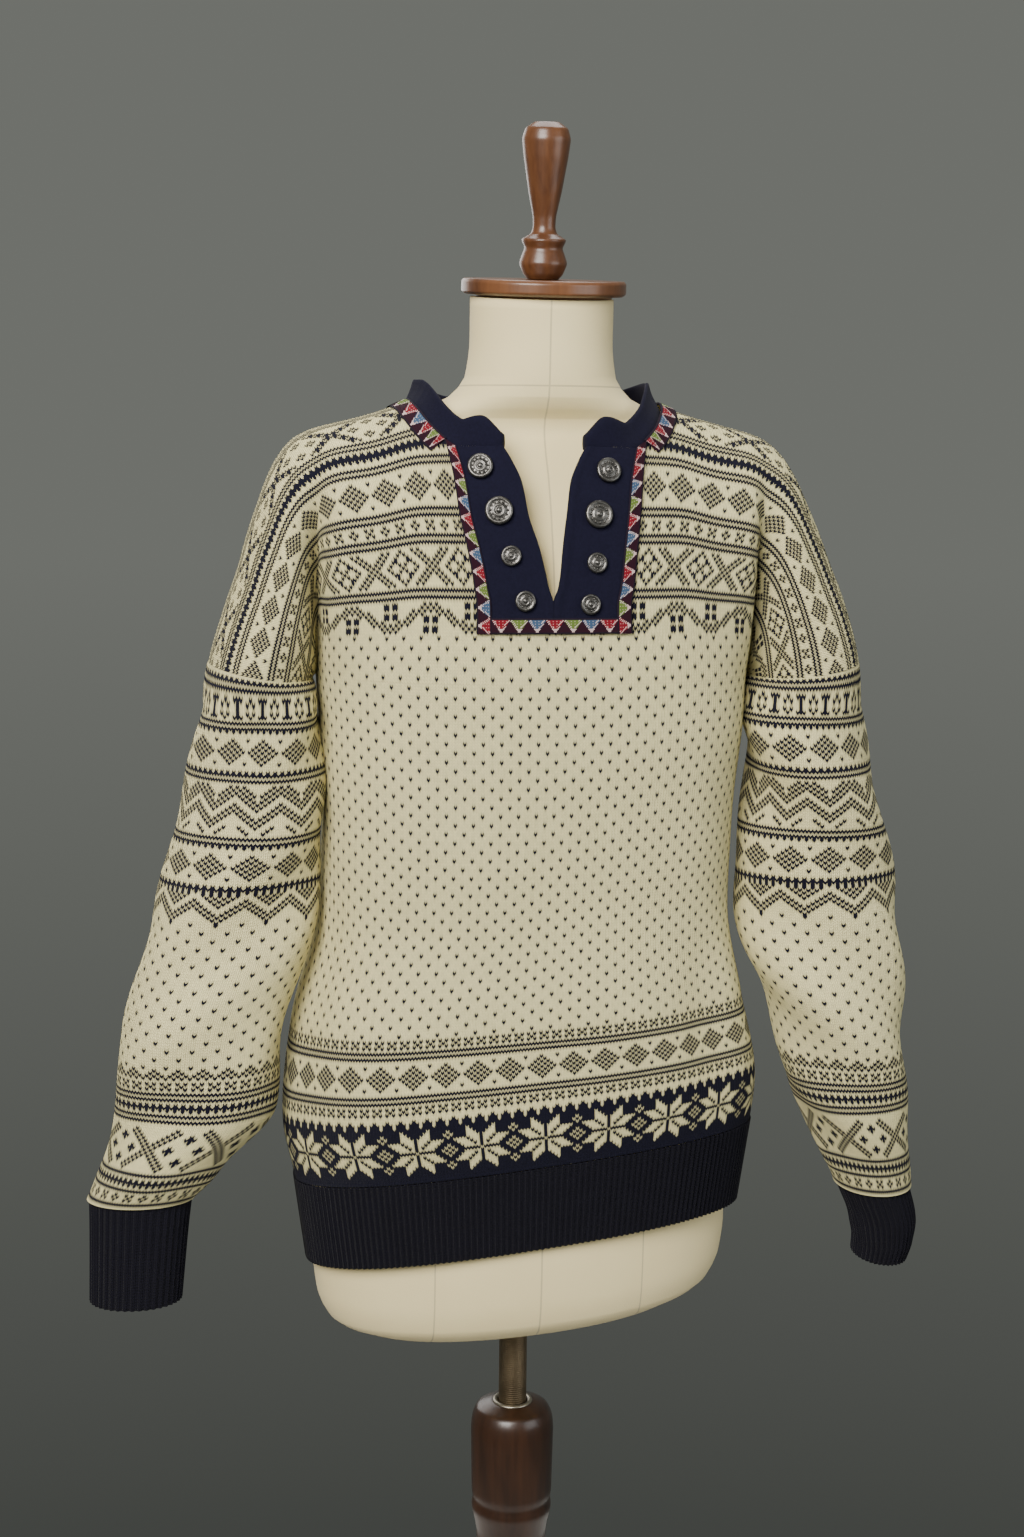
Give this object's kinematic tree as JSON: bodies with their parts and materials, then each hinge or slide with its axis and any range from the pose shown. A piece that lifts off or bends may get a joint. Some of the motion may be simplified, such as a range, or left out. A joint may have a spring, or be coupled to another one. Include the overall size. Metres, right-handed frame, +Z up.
{
  "type": "nordic fair isle pullover on a limbless dress form with stand",
  "caption": "Patterned wool pullover with a buttoned V-slit neck, worn by a cream torso dress form on a turned wooden stand with a pole that slides up and down.",
  "frame": {"origin": "centre of the base's underside, on the floor, on the pole's axis", "axes": "+Z up along the pole, -Y towards the front of the garment, +X to the left arm of a wearer"},
  "size_m": [0.7138, 0.37, 1.5586],
  "materials": {
    "cream_wool": "matt knit",
    "navy_rib": "matt ribbed knit",
    "navy_cloth": "matt woven wool",
    "woven_ribbon": "satin woven ribbon",
    "pewter": "antiqued cast pewter",
    "form_linen": "stretched linen",
    "turned_wood": "satin varnish",
    "pole_bronze": "aged"
  },
  "bodies": {
    "stand": {"column": "turned_wood", "base": "turned_wood"},
    "form": {"body_front": "cream_wool", "body_back": "cream_wool", "sleeve_left": "cream_wool", "sleeve_right": "cream_wool", "hem_rib": "navy_rib", "cuff_left": "navy_rib", "cuff_right": "navy_rib", "collar": "navy_cloth", "placket_left": "navy_cloth", "placket_right": "navy_cloth", "ribbon_left": "woven_ribbon", "ribbon_right": "woven_ribbon", "ribbon_foot": "woven_ribbon", "ribbon_neck_left": "woven_ribbon", "ribbon_neck_right": "woven_ribbon", "ribbon_neck_back": "woven_ribbon", "button_left_1": "pewter", "button_left_2": "pewter", "button_left_3": "pewter", "button_left_4": "pewter", "button_right_1": "pewter", "button_right_2": "pewter", "button_right_3": "pewter", "button_right_4": "pewter", "form_torso": "form_linen", "neck_cap": "turned_wood", "finial": "turned_wood", "pole": "pole_bronze"}
  },
  "joints": [
    {"name": "height", "type": "slide", "parent": "stand", "child": "form", "axis": [0, 0, 1], "range_m": [-0.1, 0.12]}
  ]
}
